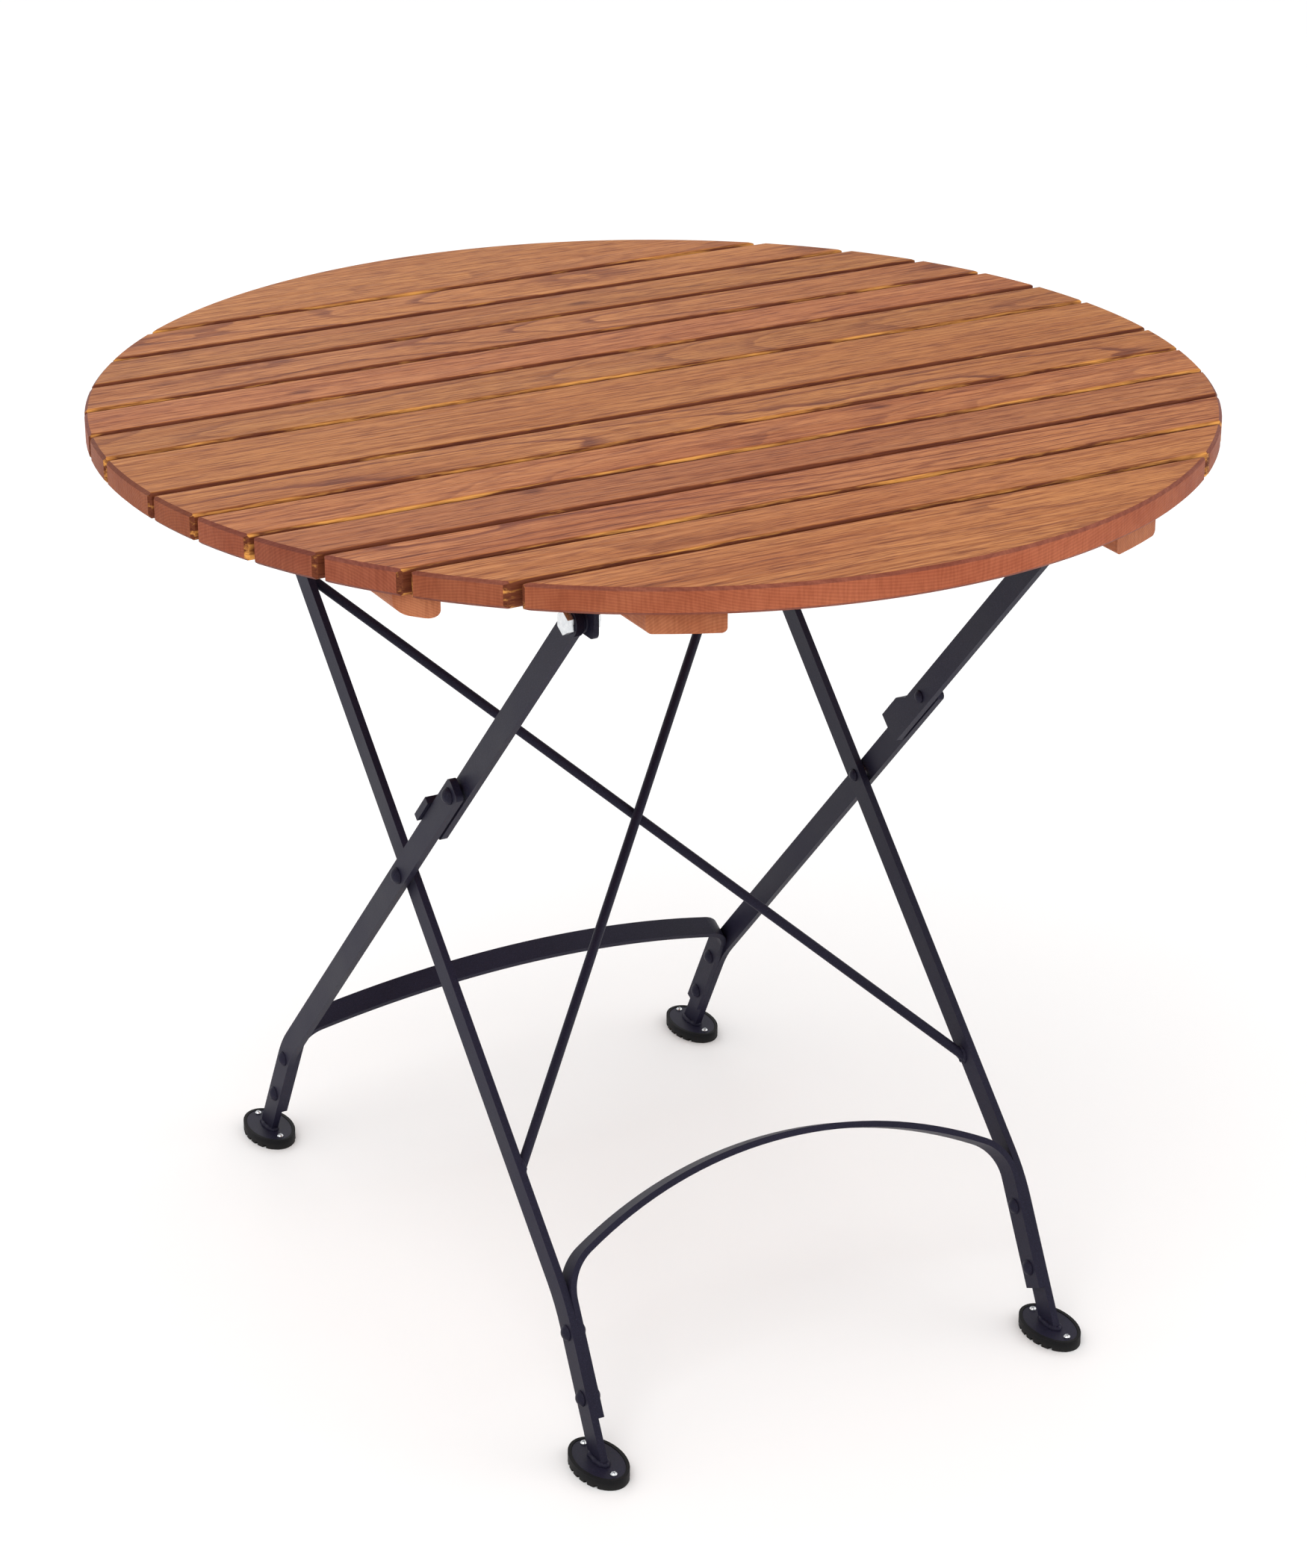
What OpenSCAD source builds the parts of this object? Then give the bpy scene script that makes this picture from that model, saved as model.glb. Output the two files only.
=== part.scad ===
// Folding picnic table: a round slatted wooden top on a folding frame of flat steel bar.
// Two leg frames cross like scissors. The inner frame hangs from the back of the top. The outer
// frame is carried by two upper links, whose knees lock straight against a lug when it stands.
// Origin on the floor under the middle of the top, slats along X, front at -Y, Z up.

/* [Top] */
// Diameter of the round top
top_d = 870; // [600:10:1200]
// Height of the top face above the floor
table_h = 746; // [600:1:900]
// Thickness of the slats
slat_t = 20; // [12:1:30]
// Width of the middle slat
mid_slat_w = 84; // [50:1:120]
// Width of the two rounded outermost slats at their widest
end_slat_w = 104.5; // [60:0.5:140]
// Gap between neighbouring slats
slat_gap = 5; // [2:0.5:10]
// Rounding of the long edges of the slats
slat_edge_r = 3; // [1:0.5:6]
// Bevel of the cut rim of the top
rim_bevel = 2.4; // [0.4:0.2:4]
// Length cut off the upright corners at the slat ends
corner_cut = 2.4; // [1:0.2:5]

/* [Battens] */
// Thickness of the battens under the slats
batten_t = 16; // [12:1:30]
// Width of the two inner battens that carry the brackets
batten_w = 50; // [40:1:80]
// Width of the two outer battens
outer_batten_w = 23; // [16:1:50]
// Distance of the batten ends inside the rim
batten_inset = 8; // [2:1:20]
// Distance from the middle of an inner batten out to the middle of the leg beside it
batten_to_leg = 22.5; // [20:0.5:26]
// Distance that the outer battens reach onto the slats beyond those they are screwed to
outer_batten_grip = 10; // [4:1:20]
// Rounding of the lower long edges of the inner battens
batten_edge_r = 4; // [1:0.5:6]
// Rounding of the lower long edges of the outer battens
outer_batten_edge_r = 8; // [1:0.5:8]

/* [Steel bars] */
// Width of the flat bar of legs, links and arches
bar_w = 20; // [15:1:30]
// Thickness of the flat bar of legs and links
bar_t = 6; // [4:0.5:8]
// Distance from the middle of the table to the middle of an inner leg
leg_x = 206.5; // [150:0.5:300]
// Thickness of the washers between the crossing bars
washer_t = 2.5; // [1:0.5:5]
// Centre-line radius of the bends in the legs
bend_r = 120; // [60:5:160]

/* [Frame geometry] */
// Distance of the leg crossing behind the middle of the table
cross_y = 21; // [0:1:60]
// Height of the leg crossing
cross_h = 373; // [300:1:450]
// Lean of the inner legs from upright
inner_lean = 45.3; // [38:0.1:50]
// Lean of the outer legs and the links from upright
outer_lean = 42.5; // [38:0.1:48]
// Lean of the lower and upper ends of the legs from upright
end_lean = 27.5; // [15:0.5:35]
// Distance of the front feet in front of the middle
front_foot_y = 294; // [200:1:400]
// Distance of the back feet behind the middle
back_foot_y = 316; // [200:1:400]
// Distance from the crossing to the knee
knee_dist = 143.5; // [100:0.5:180]
// Distance that the link runs on past the knee
link_tail = 64; // [40:1:80]
// Drop of the front pivots below the battens
front_drop = 28.4; // [20:0.1:40]
// Drop of the rear pivots below the battens
rear_drop = 17; // [13:0.5:30]
// Sideways offset of the rear pivots from the straight run of the inner legs
rear_offset = 38; // [10:1:45]

/* [Arches and rods] */
// Thickness of the arch strips
arch_t = 5; // [3:0.5:8]
// Height of the front arch along the legs
front_arch_h = 203; // [160:1:260]
// Curve radius of the front arch
front_arch_r = 376; // [250:1:600]
// Corner radius of the front arch
front_corner_r = 40; // [15:1:60]
// Height of the back arch along the legs
back_arch_h = 174; // [140:1:260]
// Curve radius of the back arch
back_arch_r = 700; // [300:1:900]
// Corner radius of the back arch
back_corner_r = 22; // [15:1:60]
// Height of the arch tips along the legs
arch_tip = 31; // [15:1:36]
// Heights of the two arch rivets along the legs
arch_rivet_low = 48; // [44:1:70]
arch_rivet_high = 99; // [85:1:115]
// Diameter of the brace rods
rod_d = 8; // [5:0.5:12]
// Distance of the upper rod ends below the upper bend, along the legs
rod_below_bend = 28; // [24:1:120]
// Distance of the lower rod ends above the lower bend, along the legs
rod_above_bend = 109; // [24:1:200]

/* [Fasteners] */
// Diameter of the pivot rivets
pin_d = 8; // [6:0.5:10]
// Diameter of the bolts under the top
bolt_d = 10; // [8:1:10]
// Diameter of the pivot rivet heads
pin_head_d = 14; // [12:0.5:20]
// Height of the pivot rivet heads
pin_head_h = 5.5; // [3:0.5:7]
// Diameter of the closing heads on the inner side of the pivot rivets
pin_tail_d = 11; // [10:0.5:20]
// Height of the closing heads
pin_tail_h = 3.5; // [2:0.5:6]
// Width across the flats of the bolt heads and nuts
hex_af = 16; // [13:1:17]
// Diameter of the arch rivets
rivet_d = 6; // [4:0.5:8]
// Diameter of the arch rivet heads
rivet_head_d = 13.5; // [9:0.5:16]
// Height of the arch rivet heads
rivet_head_h = 4.5; // [2:0.5:6]
// Thickness of the bracket plates
plate_t = 4; // [3:0.5:6]

/* [Feet] */
// Length of the rubber pads, front to back
pad_len = 66; // [50:1:90]
// Width of the rubber pads
pad_w = 41; // [30:1:60]
// Height of the rubber pads
pad_h = 9; // [6:0.5:15]
// Width of the raised rim around each foot plate
pad_rim = 3; // [2:0.5:5]
// Thickness of the foot plates
foot_plate_t = 2.5; // [2:0.5:4]
// Distance of the foot screws from the middle of the foot
foot_screw_y = 24.5; // [20:0.5:30]

/* [Hidden] */
$fn = 96;

// Clearances: around a running pin, beside a moving bar, and between a lug and its bar
pin_fit = 0.05;
side_fit = 0.3;
lug_fit = 0.8;

// Length by which the curved parts of a bar run into its straight parts
lap = 0.1;

// Colours
wood = [0.72, 0.45, 0.27];
steel = [0.16, 0.16, 0.18];
zinc = [0.78, 0.79, 0.80];
rubber = [0.08, 0.08, 0.08];

// Top: levels, slat widths and batten places
top_r = top_d / 2;
slat_z = table_h - slat_t;
batten_z = slat_z - batten_t;
mid_slat = 7;
narrow_slats = 5;
slat_w = (top_r - mid_slat_w / 2 - end_slat_w - (narrow_slats + 1) * slat_gap) / narrow_slats;
batten_r = top_r - batten_inset;
inner_batten_x = leg_x - batten_to_leg;
slat_screw_in = 17;
slat_screw_x = inner_batten_x - slat_screw_in;
outer_batten_reach = 4;
outer_batten_end = slat_from(outer_batten_reach + 1) + outer_batten_grip;
outer_batten_x = sqrt(batten_r * batten_r - outer_batten_end * outer_batten_end) + outer_batten_w / 2;

// Wood screws, driven up through the battens
screw_d = 4;
screw_head_d = 8;
screw_head_h = 3;
screw_bite = 12;
recess_w = 1.2;
recess_h = 1.2;

// Planes of the bars, as distances from the middle of the table
outer_x = leg_x + bar_t + washer_t;
inner_face = leg_x - bar_t / 2;
leg_face = leg_x + bar_t / 2;
outer_in_face = outer_x - bar_t / 2;
outer_out_face = outer_x + bar_t / 2;
spacer_len = 8;
spacer_d = bolt_d + 6;
ear_x = inner_face - spacer_len;
hex_h = 5.3;
nut_h = 6.5;
bolt_end = 2;

// Points and directions in the side view, as [Y, Z]
cross_pt = [cross_y, cross_h];
inner_up = [sin(inner_lean), cos(inner_lean)];
inner_side = [-cos(inner_lean), sin(inner_lean)];
outer_up = [-sin(outer_lean), cos(outer_lean)];
outer_side = [cos(outer_lean), sin(outer_lean)];
knee_pt = cross_pt + knee_dist * outer_up;
front_pin_z = batten_z - front_drop;
link_len = (front_pin_z - knee_pt.y) / cos(outer_lean);
front_pin = knee_pt + link_len * outer_up;
rear_pin_z = batten_z - rear_drop;
rear_along = (rear_pin_z - cross_h - rear_offset * inner_side.y) / inner_up.y;
rear_pin = cross_pt + rear_along * inner_up + rear_offset * inner_side;
end_up = [sin(end_lean), cos(end_lean)];
top_run = rear_offset / sin(inner_lean - end_lean);
inner_top_bend = rear_pin - top_run * end_up;
plate_top = pad_h - 0.5;
front_foot = [-front_foot_y, plate_top];
back_foot = [back_foot_y, plate_top];
back_end_up = [-sin(end_lean), cos(end_lean)];
inner_low_bend = meet(cross_pt, inner_up, front_foot, end_up);
outer_low_bend = meet(cross_pt, outer_up, back_foot, back_end_up);
rod_up = norm(inner_top_bend - cross_pt) - rod_below_bend;
rod_down = norm(inner_low_bend - cross_pt) - rod_above_bend;
rod_gap = 0.1;
foot_sink = 20;

// Radius of the eyes at the pivots under the top, and length and corner radius of the other bar ends
eye_r = bar_w / 2 + 1;
bar_end = 12.5;
bar_corner_r = 4;

// Lug at the lower end of each link
lug_taper_from = 20;
lug_from = 34;
lug_to = link_tail;
lug_t = 6;
lug_overhang = 3;

// ---- Helpers -------------------------------------------------------------------------------

function turn(u, v) = u.x * v.y - u.y * v.x;
function meet(p, u, q, v) = p + u * (turn(q - p, v) / turn(u, v));
function unit(v) = v / norm(v);
function ring(n, a, b) = [for (i = [0 : n - 1]) [a * cos(i * 360 / n), b * sin(i * 360 / n)]];

// Puts a part made for the right side on the given side
module on_side(side) {
    if (side < 0)
        mirror([1, 0, 0]) children();
    else
        children();
}

// Stands a side-view outline up, extruded from x over a thickness
module side_plate(x, thickness) {
    translate([x, 0, 0]) rotate([90, 0, 90]) linear_extrude(thickness) children();
}

// A cylinder along X through a side-view point
module pin(p, x, length, d) {
    translate([x, p.x, p.y]) rotate([0, 90, 0]) cylinder(h = length, d = d);
}

// A hexagon along X through a side-view point
module hexagon(p, x, length) {
    translate([x, p.x, p.y]) rotate([0, 90, 0]) cylinder(h = length, d = hex_af / cos(30), $fn = 6);
}

// A domed rivet head that stands on the plane x and bulges along the sign
module dome(p, x, sign, d, h) {
    r = (d * d / 4 + h * h) / (2 * h);
    translate([x, p.x, p.y]) rotate([0, sign * 90, 0]) intersection() {
        translate([0, 0, h - r]) sphere(r = r);
        cylinder(h = h, d = d + 1);
    }
}

// A rivet through the planes x1 to x2, with a dome at each end
module rivet(p, x1, x2, d, head_d, head_h, tail_d, tail_h) {
    pin(p, x1, x2 - x1, d);
    dome(p, x1, -1, tail_d, tail_h);
    dome(p, x2, 1, head_d, head_h);
}

// Rivet that joins a leg and an arch
module arch_rivet(p, x1, x2) {
    rivet(p, x1, x2, rivet_d, rivet_head_d, rivet_head_h, rivet_head_d, rivet_head_h);
}

// Rivet that an inner bar turns on, fixed in the outer bar
module pivot_rivet(p) {
    rivet(p, inner_face - side_fit, outer_out_face, pin_d, pin_head_d, pin_head_h, pin_tail_d, pin_tail_h);
}

// Part of a flat ring between two directions less than 180 degrees apart, lapping its neighbours
module ring_part(c, r, w, from, to) {
    lap_angle = lap / r * 180 / PI;
    a0 = from - lap_angle;
    a1 = to + lap_angle;
    mid = (a0 + a1) / 2;
    reach = 2 * r / cos((a1 - a0) / 2);
    intersection() {
        translate(c) difference() {
            circle(r = r + w / 2, $fn = 240);
            circle(r = r - w / 2, $fn = 240);
        }
        polygon([c, c + reach * [cos(a0), sin(a0)], c + reach * [cos(mid), sin(mid)],
            c + reach * [cos(a1), sin(a1)]]);
    }
}

// Straight run of bar, seen from the side
module run(p, q, w) {
    n = unit([q.y - p.y, p.x - q.x]) * w / 2;
    polygon([p + n, q + n, q - n, p - n]);
}

// End of a bar with rounded corners, running on from a point in a direction
module rounded_end(p, way, length) {
    across = (bar_w / 2 - bar_corner_r) * [-way.y, way.x];
    corner = p + (length - bar_corner_r) * way;
    run(p, corner, bar_w);
    run(p, p + length * way, bar_w - 2 * bar_corner_r);
    for (s = [-1, 1])
        translate(corner + s * across) circle(r = bar_corner_r);
}

// What is cut off a leg under the top face of its foot plate, seen from the side
module under_plate(foot) {
    translate([foot.x - 2 * bar_w, plate_top - 2 * foot_sink]) square([4 * bar_w, 2 * foot_sink]);
}

// Bent bar through three points, seen from the side, with its bend at the middle one
module bent_run(p, b, q, w, r) {
    u = unit(b - p);
    v = unit(q - b);
    bend = abs(asin(turn(u, v)));
    tangent = r * tan(bend / 2);
    hand = turn(u, v) > 0 ? 1 : -1;
    centre = b - tangent * u + hand * r * [-u.y, u.x];
    a0 = atan2(-hand * u.x, hand * u.y);
    run(p, b - tangent * u, w);
    run(b + tangent * v, q, w);
    ring_part(centre, r, w, min(a0, a0 + hand * bend), max(a0, a0 + hand * bend));
}

// ---- Top ------------------------------------------------------------------------------------

// Near edge of the slat that is n places from the middle one, as a distance from the middle
function slat_from(n) = mid_slat_w / 2 + slat_gap + (n - 1) * (slat_w + slat_gap);

// Place of the screws of a slat along Y
function slat_screw_y(n) =
    n == 0 ? 0
    : n <= narrow_slats ? slat_from(n) + slat_w / 2
    : (slat_from(n) + sqrt(batten_r * batten_r - slat_screw_x * slat_screw_x)) / 2;

// The round board that the slats are cut from, with its bevelled rim
module round_board() {
    rotate_extrude($fn = 240) polygon([
        [0, slat_z], [top_r - rim_bevel, slat_z], [top_r, slat_z + rim_bevel],
        [top_r, table_h - rim_bevel], [top_r - rim_bevel, table_h], [0, table_h]
    ]);
}

// Section of a slat across its length, with rounded edges
module slat_section(from, width) {
    r = slat_edge_r;
    translate([from, slat_z]) {
        translate([0, r]) square([width, slat_t - 2 * r]);
        translate([r, 0]) square([width - 2 * r, slat_t]);
        for (y = [r, width - r], z = [r, slat_t - r])
            translate([y, z]) circle(r = r);
    }
}

function rim_x(y) = sqrt(top_r * top_r - y * y);

// What is cut off the corners where the long edge at y meets the rim, with the slat on the inward side
module corner_cuts(y, inward) {
    p = [rim_x(y) - corner_cut, y];
    q = [rim_x(y + inward * corner_cut), y + inward * corner_cut];
    along = 3 * corner_cut * unit(q - p);
    out = inward * [along.y, -along.x];
    for (hand = [0, 1])
        mirror([hand, 0, 0]) translate([0, 0, slat_z - 1]) linear_extrude(slat_t + 2)
            polygon([p - along, q + along, q + along + out, p - along + out]);
}

// One wood screw, pointing up from the underside of a batten, or the hole that it fills
module wood_screw(hole = false) {
    difference() {
        union() {
            cylinder(h = screw_head_h, d = screw_head_d);
            cylinder(h = batten_t + screw_bite, d = screw_d);
        }
        if (!hole) cross_recess(screw_head_d);
    }
}

// Cross recess cut up into a screw head from the plane of its face
module cross_recess(head_d) {
    for (turned = [0, 90])
        rotate([0, 0, turned]) translate([-0.3 * head_d, -recess_w / 2, -1])
            cube([0.6 * head_d, recess_w, 1 + recess_h]);
}

// Screws of one slat, or their holes: n places from the middle, on the given side of it
module slat_screw_set(n, side, hole = false) {
    xs = n <= outer_batten_reach ? [slat_screw_x, outer_batten_x] : [slat_screw_x];
    for (x = xs, hand = [-1, 1])
        translate([hand * x, side * slat_screw_y(n), batten_z]) wood_screw(hole);
}

module slat(number) {
    n = abs(number - mid_slat);
    side = number < mid_slat ? -1 : 1;
    from = n == 0 ? -mid_slat_w / 2 : slat_from(n);
    width = n == 0 ? mid_slat_w : n <= narrow_slats ? slat_w : 2 * end_slat_w;
    color(wood) difference() {
        intersection() {
            mirror([0, side < 0 ? 1 : 0, 0]) side_plate(-top_r, top_d) slat_section(from, width);
            round_board();
        }
        slat_screw_set(n, side, hole = true);
        mirror([0, side < 0 ? 1 : 0, 0]) {
            corner_cuts(from, 1);
            if (n <= narrow_slats) corner_cuts(from + width, -1);
        }
    }
}

module batten(x, screw_x, width, r, slats_reached) {
    color(wood) difference() {
        intersection() {
            translate([x - width / 2, top_r, batten_z]) rotate([90, 0, 0]) linear_extrude(top_d) {
                translate([0, r]) square([width, batten_t - r]);
                translate([r, 0]) square([width - 2 * r, batten_t]);
                for (e = [r, width - r])
                    translate([e, r]) circle(r = r);
            }
            translate([0, 0, batten_z]) cylinder(h = batten_t, r = batten_r, $fn = 240);
        }
        for (n = [0 : slats_reached], side = [-1, 1])
            if (n > 0 || side > 0)
                translate([screw_x, side * slat_screw_y(n), batten_z]) wood_screw(hole = true);
        bracket_screws();
    }
}

module inner_batten(side) {
    batten(side * inner_batten_x, side * slat_screw_x, batten_w, batten_edge_r, narrow_slats + 1);
}

module outer_batten(side) {
    x = side * outer_batten_x;
    batten(x, x, outer_batten_w, outer_batten_edge_r, outer_batten_reach);
}

module slat_screws() {
    color(zinc) for (n = [0 : narrow_slats + 1], side = [-1, 1])
        if (n > 0 || side > 0)
            slat_screw_set(n, side);
}

// ---- Brackets -------------------------------------------------------------------------------

flange_w = 28;
flange_x = ear_x + plate_t - flange_w;
ear_front = 18;
ear_drop = 10.5;
ear_back = 10;
ear_lean = 36;
ear_corner_r = 6;
bracket_screw_in = 8;
bracket_screw_y = 40;
round_head_h = 2.4;

// Ear of a bracket around a pivot, with its upright edge towards the side given
module ear_outline(p, side) {
    top = batten_z - p.y;
    r = ear_corner_r;
    translate(p) scale([side, 1]) {
        polygon([
            [ear_front, top], [ear_front, r - ear_drop], [ear_front - r, r - ear_drop],
            [ear_front - r, -ear_drop], [-ear_back, -ear_drop], [-ear_back - ear_lean, top]
        ]);
        translate([ear_front - r, r - ear_drop]) circle(r = r);
    }
}

// Flange under the batten, bent inward from the ear
module bracket(p, side) {
    from = min(side * ear_front, -side * (ear_back + ear_lean));
    length = ear_front + ear_back + ear_lean;
    difference() {
        union() {
            side_plate(ear_x, plate_t) ear_outline(p, side);
            translate([flange_x, p.x + from, batten_z - plate_t]) cube([flange_w, length, plate_t]);
        }
        pin(p, ear_x - 1, plate_t + 2, bolt_d);
        bracket_screw_pair(p, side, screw_d);
    }
}

function bracket_middle(p, side) = p.x + side * (ear_front - ear_back - ear_lean) / 2;

module bracket_screw_pair(p, side, d) {
    for (y = [-1, 1] * bracket_screw_y / 2 + [1, 1] * bracket_middle(p, side))
        translate([flange_x + bracket_screw_in, y, batten_z - plate_t - 1]) cylinder(h = batten_t, d = d);
}

module bracket_screws() {
    color(zinc) for (hand = [-1, 1], end = [[front_pin, -1], [rear_pin, 1]])
        on_side(hand)
            for (y = [-1, 1] * bracket_screw_y / 2 + [1, 1] * bracket_middle(end[0], end[1]))
                translate([flange_x + bracket_screw_in, y, batten_z - plate_t]) {
                    cylinder(h = plate_t + screw_bite, d = screw_d);
                    translate([0, 0, -round_head_h]) difference() {
                        cylinder(h = round_head_h, d1 = screw_head_d - 3, d2 = screw_head_d);
                        cross_recess(screw_head_d);
                    }
                }
}

module front_bracket(side) {
    color(steel) on_side(side) {
        bracket(front_pin, -1);
        difference() {
            pin(front_pin, ear_x + plate_t, spacer_len - plate_t - side_fit, spacer_d);
            pin(front_pin, ear_x, spacer_len + 1, bolt_d);
        }
    }
}

module rear_bracket(side) {
    color(steel) on_side(side) bracket(rear_pin, 1);
}

// Bolt that the link turns on: head outside the link, shank through link, spacer and ear
module front_bolt(side) {
    color(zinc) on_side(side) {
        hexagon(front_pin, leg_face + side_fit, hex_h);
        pin(front_pin, ear_x - nut_h - bolt_end, leg_face + side_fit - ear_x + nut_h + bolt_end, bolt_d);
    }
}

module front_nuts() {
    color(zinc) for (side = [-1, 1])
        on_side(side) difference() {
            hexagon(front_pin, ear_x - nut_h, nut_h);
            pin(front_pin, ear_x - nut_h - 1, nut_h + 2, bolt_d);
        }
}

// Nuts and shank ends that stay with the rear brackets
module rear_nuts() {
    color(zinc) for (side = [-1, 1])
        on_side(side) {
            hexagon(rear_pin, ear_x - nut_h, nut_h);
            pin(rear_pin, ear_x - nut_h - bolt_end, nut_h + bolt_end + plate_t, bolt_d);
        }
}

// Head, shank and spacer that stay with the inner leg
module rear_bolt(side) {
    color(zinc) on_side(side) {
        hexagon(rear_pin, leg_face, hex_h);
        pin(rear_pin, inner_face, bar_t, bolt_d);
        pin(rear_pin, ear_x + plate_t + side_fit, spacer_len - plate_t - side_fit, spacer_d);
    }
}

// ---- Links ----------------------------------------------------------------------------------

module link(side) {
    lug_side = (bar_w / 2 + lug_fit) * outer_side;
    lug_back = lug_side + lug_t * outer_side;
    taper = knee_pt - lug_taper_from * outer_up;
    a = knee_pt - lug_from * outer_up;
    b = knee_pt - lug_to * outer_up;
    color(steel) on_side(side) {
        side_plate(inner_face, bar_t) difference() {
            union() {
                run(knee_pt, front_pin, bar_w);
                rounded_end(knee_pt, -outer_up, link_tail);
                translate(front_pin) circle(r = eye_r);
                polygon([taper, b, b + lug_back, a + lug_back, taper + bar_w / 2 * outer_side]);
            }
            translate(front_pin) circle(d = bolt_d + 2 * pin_fit);
            translate(knee_pt) circle(d = pin_d + 2 * pin_fit);
        }
        side_plate(leg_face, outer_out_face + lug_overhang - leg_face)
            polygon([a + lug_side, b + lug_side, b + lug_back, a + lug_back]);
    }
}

// ---- Outer frame ----------------------------------------------------------------------------

function on_back_end(v) = back_foot + v * back_end_up;
function on_front_end(v) = front_foot + v * end_up;

module outer_leg(side) {
    color(steel) on_side(side) side_plate(outer_in_face, bar_t) difference() {
        union() {
            bent_run(back_foot - foot_sink * back_end_up, outer_low_bend, knee_pt, bar_w, bend_r);
            rounded_end(knee_pt, outer_up, bar_end);
        }
        under_plate(back_foot);
        for (p = [knee_pt, cross_pt])
            translate(p) circle(d = pin_d);
        for (v = [arch_rivet_low, arch_rivet_high])
            translate(on_back_end(v)) circle(d = rivet_d);
    }
}

// Arch seen along its width: strip ends up the legs, two corners and a shallow curve
module arch_outline(half, apex, r, corner_r) {
    c = [0, apex - r];
    k = [half - corner_r, c.y + sqrt(pow(r - corner_r, 2) - pow(half - corner_r, 2))];
    lean = asin(k.x / (r - corner_r));
    ring_part(c, r, arch_t, 90 - lean, 90 + lean);
    for (hand = [0, 1])
        mirror([hand, 0]) {
            ring_part(k, corner_r, arch_t, 0, 90 - lean);
            translate([half - arch_t / 2, arch_tip]) square([arch_t, k.y - arch_tip]);
        }
}

// Strip of the given outline, standing on a foot and leaning like the leg ends
module arch(foot, lean, face, apex, r, corner_r) {
    color(steel) translate([0, foot.x, foot.y]) rotate([90 + lean, 0, 0]) difference() {
        linear_extrude(bar_w, center = true) arch_outline(face - arch_t / 2, apex, r, corner_r);
        for (hand = [-1, 1], v = [arch_rivet_low, arch_rivet_high])
            translate([hand * face, v, 0]) rotate([0, 90, 0])
                cylinder(h = 3 * arch_t, d = rivet_d, center = true);
    }
}

module back_arch() {
    arch(back_foot, end_lean, outer_in_face, back_arch_h, back_arch_r, back_corner_r);
}

module back_arch_rivets() {
    color(steel) for (side = [-1, 1], v = [arch_rivet_low, arch_rivet_high])
        on_side(side)
            arch_rivet(on_back_end(v), outer_in_face - arch_t, outer_out_face);
}

module knee_rivet(side) {
    color(steel) on_side(side) pivot_rivet(knee_pt);
}

module cross_rivet(side) {
    color(steel) on_side(side) pivot_rivet(cross_pt);
}

washer_d = pin_d + 8;

// Washers on the outer legs, just clear of the bars that turn beside them
module washers(p) {
    color(zinc) for (side = [-1, 1])
        on_side(side) difference() {
            pin(p, leg_face + side_fit, washer_t - side_fit, washer_d);
            pin(p, leg_face, washer_t + 1, pin_d);
        }
}

// ---- Inner frame ----------------------------------------------------------------------------

module inner_leg(side) {
    middle = cross_pt;
    color(steel) on_side(side) side_plate(inner_face, bar_t) difference() {
        union() {
            bent_run(front_foot - foot_sink * end_up, inner_low_bend, middle, bar_w, bend_r);
            bent_run(middle, inner_top_bend, rear_pin, bar_w, bend_r);
            translate(rear_pin) circle(r = eye_r);
        }
        under_plate(front_foot);
        translate(rear_pin) circle(d = bolt_d);
        translate(cross_pt) circle(d = pin_d + 2 * pin_fit);
        for (v = [arch_rivet_low, arch_rivet_high])
            translate(on_front_end(v)) circle(d = rivet_d);
    }
}

module front_arch() {
    arch(front_foot, -end_lean, inner_face, front_arch_h, front_arch_r, front_corner_r);
}

module front_arch_rivets() {
    color(steel) for (side = [-1, 1], v = [arch_rivet_low, arch_rivet_high])
        on_side(side)
            arch_rivet(on_front_end(v), inner_face - arch_t, leg_face);
}

// Rod from low on one inner leg to high on the other, lying before or behind its twin
module brace_rod(side) {
    shift = side * (rod_d + rod_gap) / 2;
    low = cross_pt - rod_down * inner_up + shift * inner_side;
    high = cross_pt + rod_up * inner_up + shift * inner_side;
    start = [-side * inner_face, low.x, low.y];
    way = [side * inner_face, high.x, high.y] - start;
    length = norm(way);
    color(steel) intersection() {
        translate(start) rotate([0, acos(way.z / length), atan2(way.y, way.x)])
            translate([0, 0, -rod_d]) cylinder(h = length + 2 * rod_d, d = rod_d);
        translate([-inner_face, -top_d, 0]) cube([2 * inner_face, 2 * top_d, table_h]);
    }
}

// ---- Feet -----------------------------------------------------------------------------------

foot_points = 48;
foot_screw_d = 3.5;
foot_screw_head_d = 5.5;
foot_screw_bite = 3;
groove_w = 3;
groove_h = 2.6;
groove_step = 9;

// Places a foot under the end of a leg
module at_foot(side, x, y) {
    translate([side * x, y, 0]) children();
}

module foot_plate(side, x, y) {
    color(steel) at_foot(side, x, y) difference() {
        translate([0, 0, plate_top - foot_plate_t]) linear_extrude(foot_plate_t)
            polygon(ring(foot_points, pad_w / 2 - pad_rim, pad_len / 2 - pad_rim));
        for (s = [-1, 1])
            translate([0, s * foot_screw_y, 0]) cylinder(h = pad_h + 1, d = foot_screw_d);
    }
}

module foot_pad(side, x, y) {
    floor_z = plate_top - foot_plate_t;
    color(rubber) at_foot(side, x, y) difference() {
        linear_extrude(pad_h) polygon(ring(foot_points, pad_w / 2, pad_len / 2));
        translate([0, 0, floor_z]) linear_extrude(pad_h)
            polygon(ring(foot_points, pad_w / 2 - pad_rim, pad_len / 2 - pad_rim));
        for (i = [-2.5 : 2.5])
            translate([-pad_w, i * groove_step - groove_w / 2, -1]) cube([2 * pad_w, groove_w, 1 + groove_h]);
        for (s = [-1, 1])
            translate([0, s * foot_screw_y, floor_z - foot_screw_bite])
                cylinder(h = pad_h, d = foot_screw_d);
    }
}

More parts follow.
